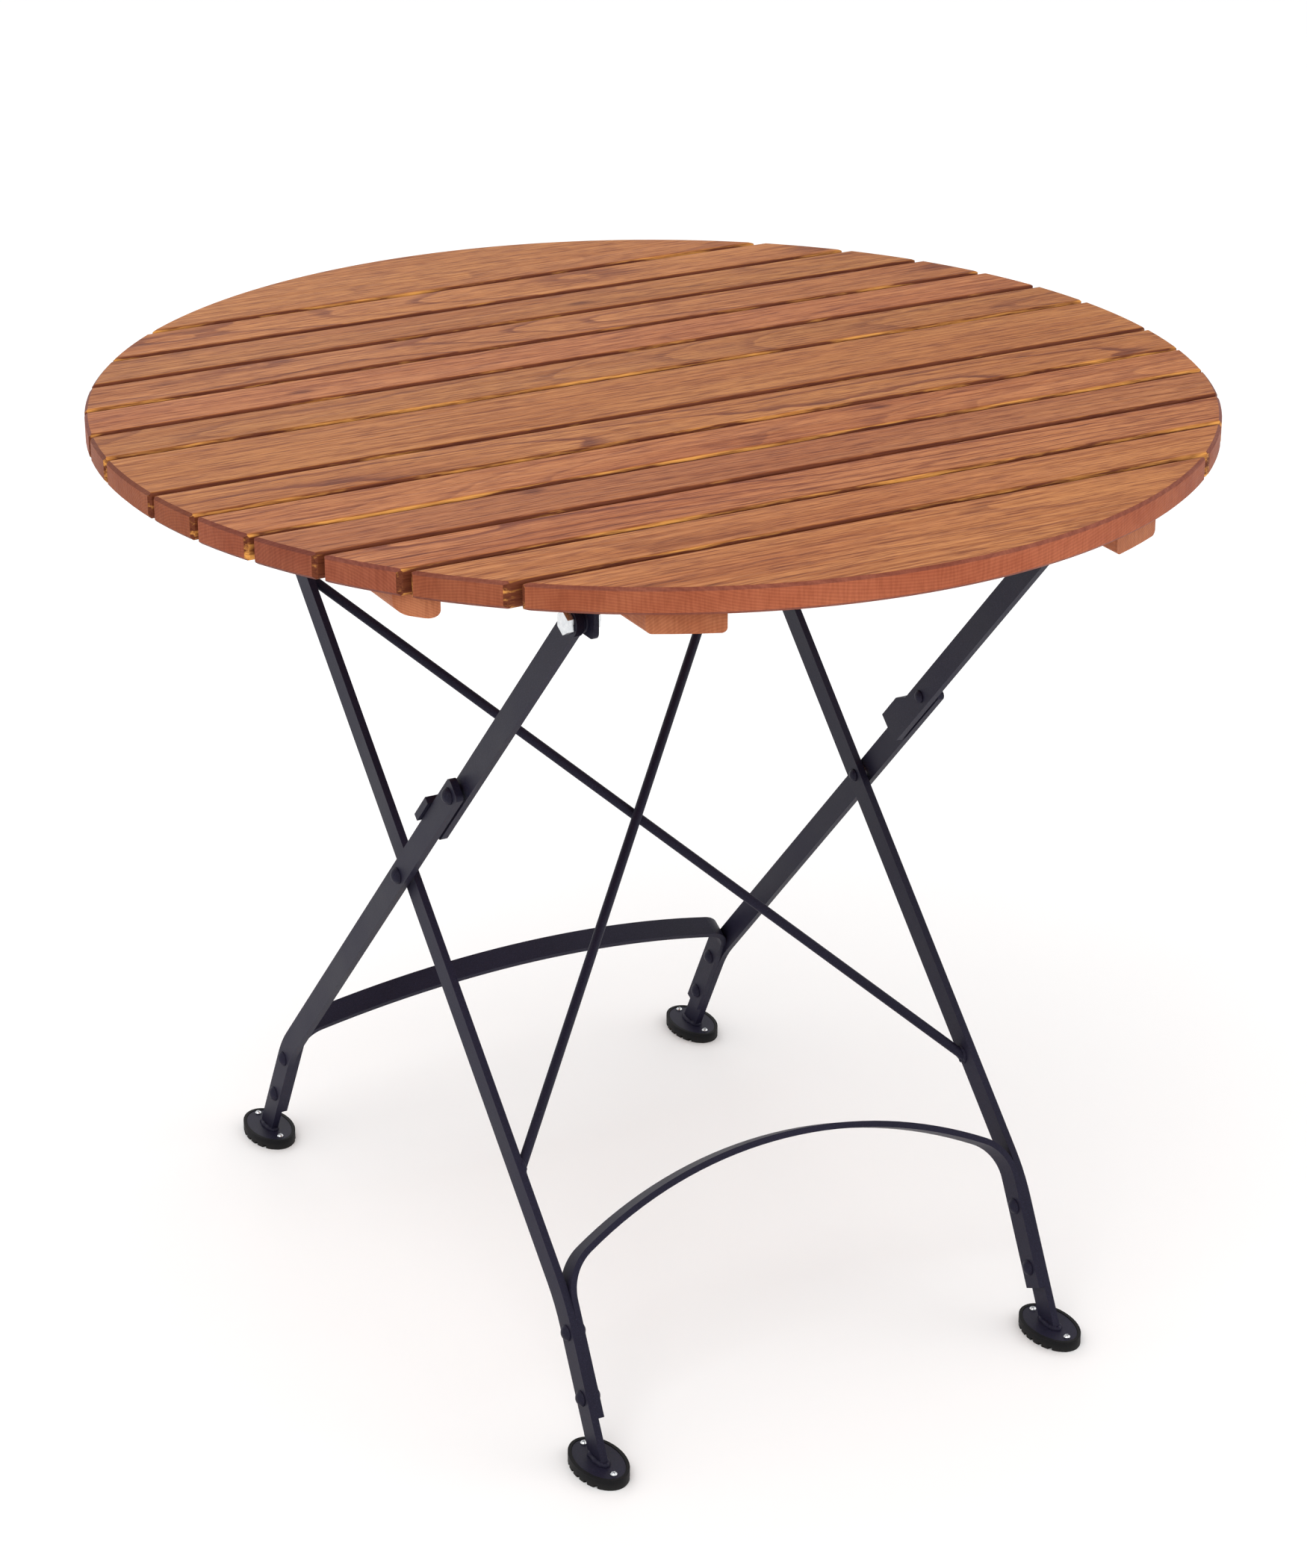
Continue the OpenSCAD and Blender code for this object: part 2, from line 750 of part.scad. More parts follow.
module foot_screws(x, y) {
    color(zinc) for (side = [-1, 1], s = [-1, 1])
        at_foot(side, x, y + s * foot_screw_y) {
            translate([0, 0, plate_top - foot_plate_t - foot_screw_bite])
                cylinder(h = foot_plate_t + foot_screw_bite, d = foot_screw_d);
            translate([0, 0, plate_top + 2]) mirror([0, 0, 1]) difference() {
                union() {
                    cylinder(h = 1, d1 = foot_screw_d, d2 = foot_screw_head_d);
                    translate([0, 0, 1]) cylinder(h = 1, d = foot_screw_head_d);
                }
                cross_recess(foot_screw_head_d);
            }
        }
}

// ---- Nodes ----------------------------------------------------------------------------------

slat(1);  // slat_01
slat(2);  // slat_02
slat(3);  // slat_03
slat(4);  // slat_04
slat(5);  // slat_05
slat(6);  // slat_06
slat(7);  // slat_07
slat(8);  // slat_08
slat(9);  // slat_09
slat(10);  // slat_10
slat(11);  // slat_11
slat(12);  // slat_12
slat(13);  // slat_13
inner_batten(-1);  // inner_batten_left
inner_batten(1);  // inner_batten_right
outer_batten(-1);  // outer_batten_left
outer_batten(1);  // outer_batten_right
slat_screws();
bracket_screws();
front_bracket(-1);  // front_bracket_left
front_bracket(1);  // front_bracket_right
front_bolt(-1);  // front_bolt_left
front_bolt(1);  // front_bolt_right
front_nuts();
rear_bracket(-1);  // rear_bracket_left
rear_bracket(1);  // rear_bracket_right
rear_nuts();
link(-1);  // link_left
link(1);  // link_right
outer_leg(-1);  // outer_leg_left
outer_leg(1);  // outer_leg_right
back_arch();
back_arch_rivets();
knee_rivet(-1);  // knee_rivet_left
knee_rivet(1);  // knee_rivet_right
washers(knee_pt);  // knee_washers
cross_rivet(-1);  // cross_rivet_left
cross_rivet(1);  // cross_rivet_right
washers(cross_pt);  // cross_washers
foot_plate(-1, outer_x, back_foot_y);  // back_foot_plate_left
foot_plate(1, outer_x, back_foot_y);  // back_foot_plate_right
foot_pad(-1, outer_x, back_foot_y);  // back_foot_pad_left
foot_pad(1, outer_x, back_foot_y);  // back_foot_pad_right
foot_screws(outer_x, back_foot_y);  // back_foot_screws
inner_leg(-1);  // inner_leg_left
inner_leg(1);  // inner_leg_right
front_arch();
front_arch_rivets();
brace_rod(-1);  // brace_rod_1
brace_rod(1);  // brace_rod_2
rear_bolt(-1);  // rear_bolt_left
rear_bolt(1);  // rear_bolt_right
foot_plate(-1, leg_x, -front_foot_y);  // front_foot_plate_left
foot_plate(1, leg_x, -front_foot_y);  // front_foot_plate_right
foot_pad(-1, leg_x, -front_foot_y);  // front_foot_pad_left
foot_pad(1, leg_x, -front_foot_y);  // front_foot_pad_right
foot_screws(leg_x, -front_foot_y);  // front_foot_screws
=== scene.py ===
"""Looks for the folding picnic table: oiled wood, powder-coated flat steel, zinc fasteners, rubber feet."""

import math
import random

import bpy
from mathutils import Matrix, Vector


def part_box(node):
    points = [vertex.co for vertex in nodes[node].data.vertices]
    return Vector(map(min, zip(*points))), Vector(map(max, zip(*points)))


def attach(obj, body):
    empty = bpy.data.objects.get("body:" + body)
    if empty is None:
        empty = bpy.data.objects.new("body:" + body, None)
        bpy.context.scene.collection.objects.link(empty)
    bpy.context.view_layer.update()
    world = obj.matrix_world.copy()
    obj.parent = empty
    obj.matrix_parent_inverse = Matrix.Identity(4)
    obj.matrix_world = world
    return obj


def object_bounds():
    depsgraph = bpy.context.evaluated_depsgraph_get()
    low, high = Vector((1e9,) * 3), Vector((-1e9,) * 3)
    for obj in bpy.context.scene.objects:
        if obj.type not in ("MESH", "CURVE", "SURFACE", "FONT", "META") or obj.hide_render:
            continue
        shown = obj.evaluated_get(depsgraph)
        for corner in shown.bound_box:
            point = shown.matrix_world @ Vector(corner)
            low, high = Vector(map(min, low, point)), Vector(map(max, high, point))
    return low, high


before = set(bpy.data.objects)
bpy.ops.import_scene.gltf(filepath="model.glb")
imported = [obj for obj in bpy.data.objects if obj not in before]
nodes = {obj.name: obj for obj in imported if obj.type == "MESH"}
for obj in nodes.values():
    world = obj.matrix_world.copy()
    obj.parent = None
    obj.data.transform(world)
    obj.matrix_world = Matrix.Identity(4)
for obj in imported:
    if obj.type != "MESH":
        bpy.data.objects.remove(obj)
cad_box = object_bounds()

# ---- Camera: place, heading and tilt of the view, and a lens that frames the whole table ---------

CAMERA_PLACE = (-1.36787, -2.50406, 1.65253)
CAMERA_HEADING = 28.66
CAMERA_TILT = -23.45
CAMERA_ROLL = 0.1
LENS_MM = 106.36
SENSOR_MM = 36

# ---- Sizes in metres ----------------------------------------------------------------------------

TOP_Z = cad_box[1][2]
RIM_R = cad_box[1][0]
RIM_BEVEL = 0.0024
# How far in from the rim the painted golden highlight reaches
RIM_HIGHLIGHT_REACH = 0.008

STEEL_BEVEL = 0.0006
WOOD_BEVEL = 0.0007
SMALL_BEVEL = 0.0003
BEVEL_SEGMENTS = 2
BEVEL_ANGLE = math.radians(32)
FLAT_ANGLE = math.radians(0.5)
WELD_DISTANCE = 1e-6

BEAD_R = 0.0027
BEAD_STEPS = 28
BEAD_SIDES = 10
EDGE_REACH = 0.0002

# A normal this well in line with the way out from the middle of the top is on the rim
RIM_FACING = 0.985

# ---- Wood colours, as linear light --------------------------------------------------------------

WOOD_LIGHT = (0.448, 0.168, 0.051)
RING_LINE = (0.50, 0.34, 0.30)
END_TINT = (0.60, 0.44, 0.66)
SIDE_TINT = (0.85, 0.62, 1.00)
BATTEN_TINT = (0.97, 0.90, 1.36)
ARRIS_TINT = (0.60, 0.62, 0.80)
# Painted shade in the gaps between the slats, and painted golden highlight along their edges
GAP_SHADE = (0.140, 0.034, 0.013)
GAP_GOLD_HIGHLIGHT = (0.740, 0.330, 0.075)
GAP_HALF_HIGHLIGHT = tuple((dark + gold) / 2 for dark, gold in zip(GAP_SHADE, GAP_GOLD_HIGHLIGHT))

# How strongly the rings show, and how strong the painted golden highlight on the long edges is, by slat
# number
FIGURES = {1: 0.5, 3: 1.0, 5: 0.5, 6: 1.0, 8: 0.6, 10: 0.9, 12: 0.8}
EDGE_HIGHLIGHTS = {2: 0.5, 3: 0.7, 5: 0.8, 6: 0.5, 8: 0.7, 10: 0.4, 13: 0.5}
PLAIN_FIGURE = 0.4
PLAIN_EDGE_HIGHLIGHT = 0.1
# Painted golden highlight near the rim: a base, and a gain by the slat's own highlight strength
RIM_HIGHLIGHT = 0.06
RIM_HIGHLIGHT_GAIN = 0.12
BATTEN_FIGURE = 0.6

# Middles of small knots on the top face, by slat number
KNOTS = {4: (-0.19, -0.168), 5: (0.13, -0.118), 9: (-0.24, 0.125), 11: (0.06, 0.236)}
KNOT_STRETCH = (0.4, 1, 1)


# ---- Node helpers -------------------------------------------------------------------------------

def grey(value):
    return (value, value, value)


class Material:
    """A node material and the means to build its nodes. A value may be a socket or a plain one."""

    def __init__(self, name):
        self.data = bpy.data.materials.new(name)
        self.data.use_nodes = True
        self.tree = self.data.node_tree
        self.shader = self.tree.nodes["Principled BSDF"]

    def add(self, kind, **inputs):
        """A node with some inputs or properties set."""
        node = self.tree.nodes.new(kind)
        for key, value in inputs.items():
            if key in node.inputs:
                node.inputs[key].default_value = value
            else:
                setattr(node, key, value)
        return node

    def link(self, source, target):
        self.tree.links.new(source, target)

    def feed(self, socket, value):
        """Sets a socket to a plain number or colour, or links it to another socket."""
        if isinstance(value, (int, float)):
            socket.default_value = value
        elif isinstance(value, tuple):
            socket.default_value = (*value, 1)
        else:
            self.link(value, socket)

    def toned(self, source, *stops):
        """A value turned into a colour by (position, colour) stops."""
        node = self.add("ShaderNodeValToRGB")
        elements = node.color_ramp.elements
        while len(elements) < len(stops):
            elements.new(0.5)
        for element, (position, colour) in zip(elements, stops):
            element.position = position
            element.color = (*colour, 1)
        self.link(source, node.inputs["Fac"])
        return node.outputs["Color"]

    def mixed(self, factor, first, second, kind="MIX"):
        """Two colours mixed by a factor."""
        node = self.add("ShaderNodeMix", data_type="RGBA", blend_type=kind)
        sockets = (node.inputs[0], node.inputs[6], node.inputs[7])
        for socket, value in zip(sockets, (factor, first, second)):
            self.feed(socket, value)
        return node.outputs[2]

    def times(self, colour, by, strength=1.0):
        return self.mixed(strength, colour, by, "MULTIPLY")

    def maths(self, operation, *values, clamp=False):
        node = self.add("ShaderNodeMath", operation=operation, use_clamp=clamp)
        for socket, value in zip(node.inputs, values):
            self.feed(socket, value)
        return node.outputs[0]

    def vector_maths(self, operation, first, second=None):
        """The node itself, because the result is in Value or Vector."""
        node = self.add("ShaderNodeVectorMath", operation=operation)
        self.link(first, node.inputs[0])
        if isinstance(second, tuple):
            node.inputs[1].default_value = second
        elif second is not None:
            self.link(second, node.inputs[1])
        return node

    def mapped(self, shift=(0, 0, 0), turn=(0, 0, 0), stretch=(1, 1, 1)):
        """Object coordinates, stretched, turned and shifted."""
        where = self.add("ShaderNodeTexCoord")
        mapping = self.add("ShaderNodeMapping")
        mapping.inputs["Location"].default_value = shift
        mapping.inputs["Rotation"].default_value = turn
        mapping.inputs["Scale"].default_value = stretch
        self.link(where.outputs["Object"], mapping.inputs["Vector"])
        return mapping.outputs["Vector"]

    def noise(self, at, scale, detail, roughness=0.5):
        node = self.add("ShaderNodeTexNoise", Scale=scale, Detail=detail, Roughness=roughness)
        self.link(at, node.inputs["Vector"])
        return node

    def length_and_direction(self, vector):
        """Length and direction of the level part of a vector."""
        level = self.vector_maths("MULTIPLY", vector, (1, 1, 0)).outputs["Vector"]
        length = self.vector_maths("LENGTH", level).outputs["Value"]
        direction = self.vector_maths("NORMALIZE", level).outputs["Vector"]
        return length, direction

    def bump(self, height, strength, distance):
        node = self.add("ShaderNodeBump", Strength=strength, Distance=distance)
        self.link(height, node.inputs["Height"])
        self.link(node.outputs["Normal"], self.shader.inputs["Normal"])


# ---- Materials ----------------------------------------------------------------------------------

def wood(name, rng, across, turn=0.0, tone=(1, 1, 1), figure=BATTEN_FIGURE, edge_highlight=0.0, knot=None):
    """Oiled open-grained wood of one slat, or of one batten if it is turned.

    The growth rings lie about a tilted pith near the piece, whose middle is at the given distance
    across the grain. Figure is how strongly the rings show; the strength after it is the painted golden
    highlight on the long edges.
    """
    m = Material(name)
    toned, times, mixed, maths = m.toned, m.times, m.mixed, m.maths
    pith_across = across + rng.uniform(-0.05, 0.05)
    pith_depth = rng.uniform(0.03, 0.09)
    tilt = (0, rng.choice((-1, 1)) * rng.uniform(0.015, 0.045), turn + rng.uniform(-0.015, 0.015))
    seed = (rng.uniform(0, 9), rng.uniform(0, 9), rng.uniform(0, 9))
    place = m.mapped()

    def noise_along(stretch, detail):
        """Noise drawn out along the grain, which runs along X before the turn."""
        return m.noise(m.mapped(seed, (0, 0, turn), stretch), 1.0, detail, 0.6).outputs["Fac"]

    sway = m.noise(m.mapped(seed, tilt, (0.30, 1, 1)), 7.0, 4.0, 0.45)
    pith_at = m.mapped((0, -pith_across, pith_depth - TOP_Z), tilt)
    rings_at = mixed(0.035, pith_at, sway.outputs["Color"], "ADD")

    def rings(scale):
        """Growth rings, bent by a slow noise so that they close into long pointed figures."""
        node = m.add("ShaderNodeTexWave", wave_type="RINGS", rings_direction="X", wave_profile="SAW")
        settings = {"Scale": scale, "Distortion": 0.3, "Detail": 2.0, "Detail Scale": 1.6}
        for key, value in settings.items():
            node.inputs[key].default_value = value
        m.link(rings_at, node.inputs["Vector"])
        return node.outputs["Fac"]

    # Face: rings, fibres, pores as short dark dashes along the grain, slow clouds of redder wood
    plain = times(WOOD_LIGHT, tone)
    fibres = noise_along((3.5, 330, 330), 3.0)
    pores = toned(noise_along((30, 620, 620), 2.0), (0.40, (0.50, 0.34, 0.30)), (0.50, grey(1.0)))
    fine = toned(noise_along((70, 1900, 1900), 1.0), (0.38, (0.60, 0.50, 0.46)), (0.50, grey(1.0)))
    lines = toned(
        rings(52.0), (0.00, grey(1.0)), (0.03, RING_LINE), (0.09, RING_LINE),
        (0.22, (0.93, 0.90, 0.89)), (1.00, (1.05, 1.08, 1.08)))
    threads = toned(
        fibres, (0.34, (0.80, 0.70, 0.66)), (0.52, grey(1.0)), (0.70, (1.12, 1.14, 1.12)))
    clouds = toned(
        noise_along((2.2, 13, 13), 2.0),
        (0.30, (0.86, 0.74, 0.70)), (0.56, grey(1.0)), (0.72, (1.06, 1.10, 1.06)))
    face = times(plain, lines, figure)
    face = times(face, threads)
    face = times(face, pores, 0.80)
    face = times(face, fine, 0.70)
    face = times(face, clouds)
    if knot:
        # A small knot with a darker heart, drawn out a little along the grain
        middle = Vector((*knot, TOP_Z)) * Vector(KNOT_STRETCH)
        near = m.mapped(tuple(-middle), stretch=KNOT_STRETCH)
        distance = m.vector_maths("DISTANCE", near).outputs["Value"]
        face = times(face, toned(
            maths("MULTIPLY_ADD", fibres, 0.004, distance),
            (0.0030, (0.34, 0.22, 0.18)), (0.0050, (0.60, 0.44, 0.38)), (0.0085, grey(1.0))))

    # Cut faces: duller and redder, darkest on the end grain, with thin light rings and fine ticks
    geometry = m.add("ShaderNodeNewGeometry")
    normal = m.add("ShaderNodeSeparateXYZ")
    m.link(geometry.outputs["True Normal"], normal.inputs[0])
    flat = maths("ABSOLUTE", normal.outputs["Z"])
    if turn:
        cut = times(plain, BATTEN_TINT)
    else:
        end_grain = toned(
            maths("ABSOLUTE", normal.outputs["X"]), (0.25, grey(0.0)), (0.75, grey(1.0)))
        cut = times(plain, mixed(end_grain, SIDE_TINT, END_TINT))
    ticks = m.noise(m.mapped(stretch=(520, 520, 60)), 1.0, 2.0).outputs["Fac"]
    cut = times(cut, toned(
        rings(150.0), (0.00, (0.84, 0.80, 0.80)), (0.30, grey(0.97)),
        (0.60, (1.16, 1.22, 1.16)), (0.80, grey(0.98))), 0.75)
    cut = times(cut, toned(ticks, (0.36, (0.90, 0.86, 0.84)), (0.60, grey(1.04))))
    cut = times(cut, toned(
        noise_along((9, 26, 26), 3.0),
        (0.34, (0.86, 0.76, 0.72)), (0.56, grey(1.0)), (0.70, (1.06, 1.10, 1.06))))
    side = toned(flat, (0.80, grey(1.0)), (0.97, grey(0.0)))

    if turn:
        # Painted shade: the face under the gaps between the slats is as dark as the painted gap shade,
        # partly darker oiled wood and partly the shade of the slats above
        upward_shade = toned(normal.outputs["Z"], (0.50, grey(0.0)), (0.90, grey(1.0)))
        colour = mixed(upward_shade, mixed(side, face, cut), GAP_SHADE)
    else:
        # The bevel of the rim is darker and duller
        bevelled = toned(
            flat, (0.40, grey(0.0)), (0.60, grey(1.0)), (0.85, grey(1.0)), (0.95, grey(0.0)))
        cut = mixed(bevelled, cut, times(cut, ARRIS_TINT))

        # Painted shade on the faces in the gaps, painted golden highlight on their upper edges and by the
        # rim
        radius, outward = m.length_and_direction(place)
        facing = m.length_and_direction(geometry.outputs["True Normal"])[1]
        on_rim = m.vector_maths("DOT_PRODUCT", outward, facing).outputs["Value"]
        across_rim = maths("LESS_THAN", on_rim, RIM_FACING)
        inside = maths("LESS_THAN", radius, RIM_R - 2 * RIM_BEVEL)
        in_gap = maths("MAXIMUM", across_rim, inside)
        to_rim = maths(
            "MULTIPLY_ADD", radius, 1 / RIM_HIGHLIGHT_REACH, 1 - (RIM_R - RIM_BEVEL) / RIM_HIGHLIGHT_REACH, clamp=True)
        # Painted golden highlight on the upper arrises, chosen by how the face tilts
        arris_highlight = toned(
            flat, (0.08, grey(0.0)), (0.30, grey(0.22)), (0.80, grey(0.26)), (1.00, grey(0.10)))
        highlight_at_rim = RIM_HIGHLIGHT + RIM_HIGHLIGHT_GAIN * edge_highlight
        highlight_amount = maths("MULTIPLY_ADD", to_rim, highlight_at_rim, maths("MULTIPLY", arris_highlight, edge_highlight))
        # Painted shade in the gaps, turning to painted golden highlight where the highlight is strong
        gap_shade_and_highlight = toned(
            maths("ADD", highlight_amount, noise_along((14, 190, 190), 4.0)),
            (0.60, GAP_SHADE), (0.68, GAP_HALF_HIGHLIGHT), (0.78, GAP_GOLD_HIGHLIGHT))
        cut_or_gap_shade = mixed(in_gap, cut, times(gap_shade_and_highlight, pores, 0.6))
        colour = mixed(side, face, cut_or_gap_shade)

    m.link(colour, m.shader.inputs["Base Color"])
    m.link(toned(fibres, (0.3, grey(0.62)), (0.7, grey(0.50))), m.shader.inputs["Roughness"])
    m.shader.inputs["Specular IOR Level"].default_value = 0.12
    m.bump(maths("MULTIPLY", pores, fibres), 0.5, 0.0003)
    return m.data


def coated_steel():
    """Anthracite powder coat with a fine orange-peel texture and rubbed speckles."""
    m = Material("coated_steel")
    at = m.mapped()
    grain = m.noise(at, 1500.0, 2.0, 0.6).outputs["Fac"]
    peel = m.noise(at, 420.0, 1.0).outputs["Fac"]
    patch = m.noise(at, 9.0, 3.0).outputs["Fac"]
    speckles = m.toned(
        grain, (0.30, (0.0085, 0.0078, 0.0170)), (0.62, (0.0165, 0.0148, 0.0320)),
        (0.80, (0.042, 0.040, 0.062)))
    tone = m.toned(patch, (0.35, grey(0.85)), (0.65, grey(1.12)))
    m.link(m.times(speckles, tone), m.shader.inputs["Base Color"])
    m.link(m.toned(patch, (0.3, grey(0.40)), (0.7, grey(0.54))), m.shader.inputs["Roughness"])
    m.shader.inputs["Specular IOR Level"].default_value = 0.12
    m.bump(m.maths("ADD", grain, peel), 0.22, 0.0002)
    return m.data


def zinc():
    """Bright zinc plate with faint clouding and tiny scratches."""
    m = Material("zinc")
    cloud = m.noise(m.mapped(), 260.0, 3.0).outputs["Fac"]
    scratches_at = m.mapped(turn=(0.4, 0.2, 0.5), stretch=(300, 5200, 5200))
    tint = m.toned(cloud, (0.3, (0.60, 0.62, 0.64)), (0.7, (0.80, 0.81, 0.82)))
    m.link(tint, m.shader.inputs["Base Color"])
    m.link(m.toned(cloud, (0.3, grey(0.22)), (0.7, grey(0.38))), m.shader.inputs["Roughness"])
    m.shader.inputs["Metallic"].default_value = 1.0
    m.bump(m.noise(scratches_at, 1.0, 2.0).outputs["Fac"], 0.12, 0.0001)
    return m.data


def rubber():
    """Matt black moulded rubber with floor dust low on its sides."""
    m = Material("rubber")
    at = m.mapped()
    grain = m.noise(at, 900.0, 3.0).outputs["Fac"]
    axes = m.add("ShaderNodeSeparateXYZ")
    m.link(at, axes.inputs[0])
    dust = m.maths("MULTIPLY_ADD", axes.outputs["Z"], -160.0, 1.0, clamp=True)
    dusty = m.maths("MULTIPLY", dust, grain)
    tint = m.toned(dusty, (0.0, (0.0050, 0.0050, 0.0060)), (0.75, (0.022, 0.021, 0.020)))
    m.link(tint, m.shader.inputs["Base Color"])
    m.shader.inputs["Roughness"].default_value = 0.66
    m.shader.inputs["Specular IOR Level"].default_value = 0.16
    m.bump(grain, 0.3, 0.0002)
    return m.data


def floor_material():
    m = Material("floor")
    m.shader.inputs["Base Color"].default_value = (0.97, 0.97, 0.97, 1)
    m.shader.inputs["Roughness"].default_value = 0.9
    m.shader.inputs["Specular IOR Level"].default_value = 0.1
    return m.data


STEEL = coated_steel()
ZINC = zinc()
RUBBER = rubber()


# ---- CAD nodes: materials and softened edges ----------------------------------------------------

def paint(node, material):
    node.data.materials.clear()
    node.data.materials.append(material)


def soften(node, width):
    """Rounds the sharp edges a little, as modifiers, and evens the shading over the flat faces."""
    weld = node.modifiers.new("weld", "WELD")
    weld.merge_threshold = WELD_DISTANCE
    flatten = node.modifiers.new("flatten", "DECIMATE")
    flatten.decimate_type = "DISSOLVE"
    flatten.angle_limit = FLAT_ANGLE
    bevel = node.modifiers.new("bevel", "BEVEL")
    bevel.width = width
    bevel.segments = BEVEL_SEGMENTS
    bevel.limit_method = "ANGLE"
    bevel.angle_limit = BEVEL_ANGLE
    bevel.use_clamp_overlap = True
    bevel.harden_normals = True
    shade = node.modifiers.new("shade", "WEIGHTED_NORMAL")
    shade.keep_sharp = False
    shade.weight = 80


def slat_tone(rng):
    """A brightness, and a lean between golden and rosy wood."""
    bright = rng.uniform(0.91, 1.06)
    golden = rng.uniform(-1, 1)
    return (bright, bright * (1 + 0.035 * golden), bright * (1 - 0.08 * golden))


def slat_wood(name, rng):
    number = int(name[-2:])
    low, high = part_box(name)
    return wood(
        "wood_" + name, rng, (low.y + high.y) / 2, tone=slat_tone(rng),
        figure=FIGURES.get(number, PLAIN_FIGURE), edge_highlight=EDGE_HIGHLIGHTS.get(number, PLAIN_EDGE_HIGHLIGHT),
        knot=KNOTS.get(number))


def batten_wood(name, rng):
    low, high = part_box(name)
    return wood(
        "wood_" + name, rng, (low.x + high.x) / 2, turn=math.pi / 2,
        tone=grey(rng.uniform(0.88, 0.98)))


def dress_cad_nodes():
    rng = random.Random(5)
    for name in sorted(nodes):
        if name.startswith("slat_") and name != "slat_screws":
            material, width = slat_wood(name, rng), WOOD_BEVEL
        elif "batten" in name:
            material, width = batten_wood(name, rng), WOOD_BEVEL
        elif "pad" in name:
            material, width = RUBBER, SMALL_BEVEL
        elif any(word in name for word in ("screws", "bolt", "nuts", "washers")):
            material, width = ZINC, SMALL_BEVEL
        else:
            material, width = STEEL, STEEL_BEVEL
        paint(nodes[name], material)
        soften(nodes[name], width)


# ---- Weld beads ---------------------------------------------------------------------------------

X_AXIS, Y_AXIS, Z_AXIS = Vector((1, 0, 0)), Vector((0, 1, 0)), Vector((0, 0, 1))


def bead(name, centre, axes, halves, radius, body):
    """A lumpy weld bead round an oval with the given axes and half lengths, riding on a body."""
    rng = random.Random(name)
    normal = axes[0].cross(axes[1])
    phase = rng.uniform(0, 6)
    vertices, faces = [], []
    for i in range(BEAD_STEPS):
        turn = i * 2 * math.pi / BEAD_STEPS
        point = centre + axes[0] * halves[0] * math.cos(turn) + axes[1] * halves[1] * math.sin(turn)
        along = axes[1] * halves[1] * math.cos(turn) - axes[0] * halves[0] * math.sin(turn)
        out = along.normalized().cross(normal)
        swell = radius * (1 + 0.20 * math.sin(i * 1.9 + phase) + rng.uniform(-0.16, 0.16))
        near, far = i * BEAD_SIDES, (i + 1) % BEAD_STEPS * BEAD_SIDES
        for j in range(BEAD_SIDES):
            angle = j * 2 * math.pi / BEAD_SIDES
            following = (j + 1) % BEAD_SIDES
            vertices.append(point + (out * math.cos(angle) + normal * math.sin(angle)) * swell)
            faces.append((near + j, near + following, far + following, far + j))
    mesh = bpy.data.meshes.new(name)
    mesh.from_pydata(vertices, [], faces)
    mesh.polygons.foreach_set("use_smooth", [True] * len(faces))
    mesh.materials.append(STEEL)
    mesh.update()
    obj = bpy.data.objects.new(name, mesh)
    bpy.context.scene.collection.objects.link(obj)
    smooth = obj.modifiers.new("smooth", "SUBSURF")
    smooth.levels = smooth.render_levels = 1
    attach(obj, body)


def middle_and_half(node, wanted):
    """Middle and half size of the box of a node's vertices that pass a test."""
    points = [v.co for v in nodes[node].data.vertices if wanted(v.co)]
    low = Vector(min(p[i] for p in points) for i in range(3))
    high = Vector(max(p[i] for p in points) for i in range(3))
    return (low + high) / 2, (high - low) / 2


def foot_welds():
    """A collar of weld where each leg stands on its foot plate."""
    for end, leg, body in (("front", "inner_leg", "inner_frame"), ("back", "outer_leg", "outer_frame")):
        for hand in ("left", "right"):
            plate_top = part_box(f"{end}_foot_plate_{hand}")[1].z
            centre, half = middle_and_half(f"{leg}_{hand}", lambda p: p.z < plate_top + EDGE_REACH)
            centre.z = plate_top + 0.2 * BEAD_R
            halves = (half.x + 0.3 * BEAD_R, half.y + 0.3 * BEAD_R)
            bead(f"weld_foot_{end}_{hand}", centre, (X_AXIS, Y_AXIS), halves, BEAD_R, body)


def rod_welds():
    """A ring of weld round each end of the two brace rods, on the inner faces of the inner legs."""
    for number in (1, 2):
        rod = f"brace_rod_{number}"
        low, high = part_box(rod)
        for hand, face in (("left", low.x), ("right", high.x)):
            centre, half = middle_and_half(rod, lambda p: abs(p.x - face) < EDGE_REACH)
            bead(f"weld_{rod}_{hand}", centre, (Y_AXIS, Z_AXIS), (half.y, half.z), 0.7 * BEAD_R,
                 "inner_frame")


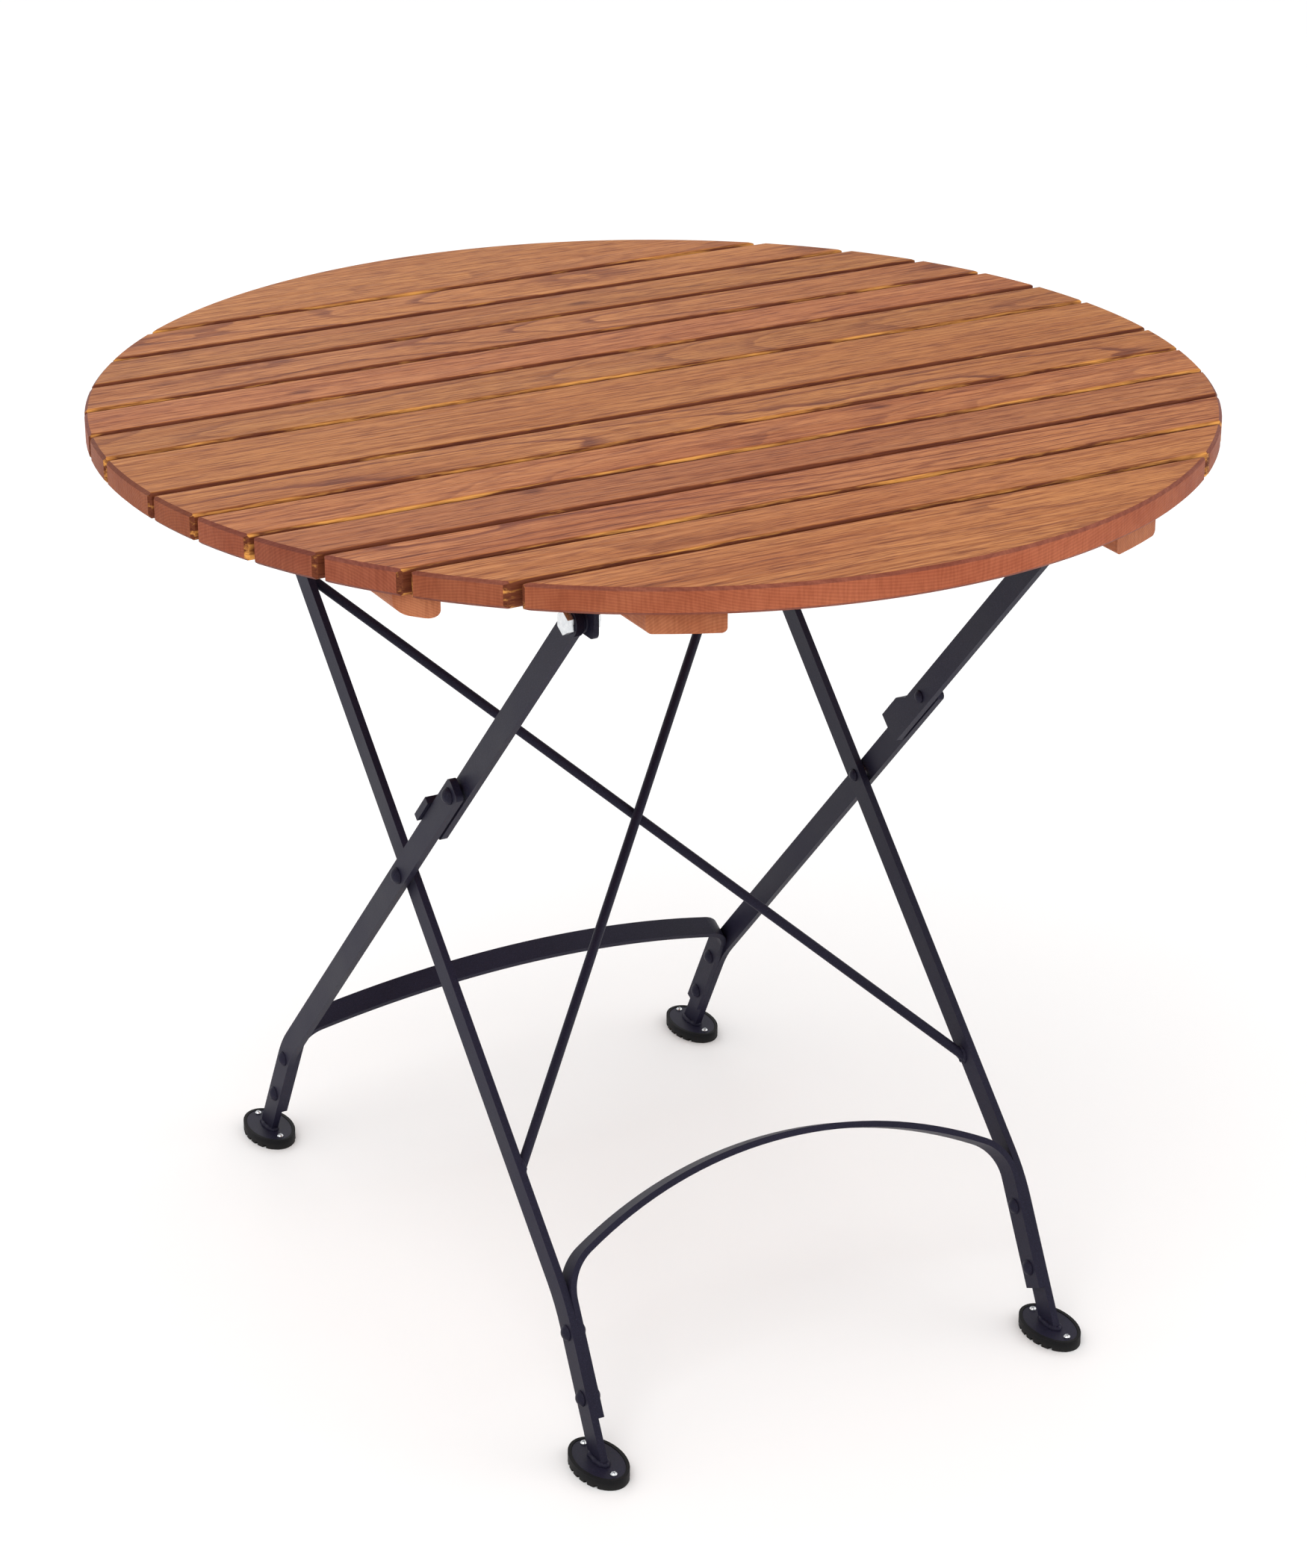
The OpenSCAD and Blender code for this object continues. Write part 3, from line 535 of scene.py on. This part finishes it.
def bracket_welds():
    """A ring of weld where the spacer of each front bracket joins its ear."""
    for hand in ("left", "right"):
        ear_face = max((corner.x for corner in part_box(f"rear_bracket_{hand}")), key=abs)
        tip = max((corner.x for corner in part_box(f"front_bracket_{hand}")), key=abs)
        centre, half = middle_and_half(f"front_bracket_{hand}", lambda p: abs(p.x - tip) < EDGE_REACH)
        centre.x = ear_face
        bead(f"weld_front_bracket_{hand}", centre, (Y_AXIS, Z_AXIS), (half.y, half.z), 0.7 * BEAD_R,
             "top")


# ---- Studio -------------------------------------------------------------------------------------

def build_floor():
    bpy.ops.mesh.primitive_plane_add(size=60, location=(0, 0, 0))
    floor = bpy.context.object
    floor.name = "floor"
    floor.data.materials.append(floor_material())


def area_light(name, place, target, size, power):
    data = bpy.data.lights.new(name, "AREA")
    data.shape = "DISK"
    data.size = size
    data.energy = power
    light = bpy.data.objects.new(name, data)
    light.location = place
    light.rotation_euler = (Vector(target) - Vector(place)).to_track_quat("-Z", "Y").to_euler()
    bpy.context.scene.collection.objects.link(light)


def build_lights():
    middle = (0, 0, 0.45)
    area_light("key", (-1.6, -1.2, 2.9), middle, 1.8, 20)
    area_light("fill", (2.6, -1.6, 1.7), middle, 2.4, 9)
    area_light("rim", (0.6, 2.8, 2.2), middle, 2.0, 10)
    world = bpy.data.worlds.new("world")
    world.use_nodes = True
    background = world.node_tree.nodes["Background"]
    background.inputs["Color"].default_value = (1, 1, 1, 1)
    background.inputs["Strength"].default_value = 1.03
    bpy.context.scene.world = world
    bpy.context.scene.view_settings.view_transform = "Standard"


def build_camera():
    data = bpy.data.cameras.new("camera")
    data.sensor_fit = "HORIZONTAL"
    data.sensor_width = SENSOR_MM
    data.lens = LENS_MM
    data.clip_end = 100
    camera = bpy.data.objects.new("camera", data)
    bpy.context.scene.collection.objects.link(camera)
    heading = Matrix.Rotation(math.radians(-CAMERA_HEADING), 4, "Z")
    tilt = Matrix.Rotation(math.radians(90 + CAMERA_TILT), 4, "X")
    roll = Matrix.Rotation(math.radians(CAMERA_ROLL), 4, "Z")
    camera.matrix_world = Matrix.Translation(CAMERA_PLACE) @ heading @ tilt @ roll
    bpy.context.scene.camera = camera


dress_cad_nodes()
foot_welds()
rod_welds()
bracket_welds()
build_floor()
build_lights()
build_camera()

bpy.context.view_layer.update()
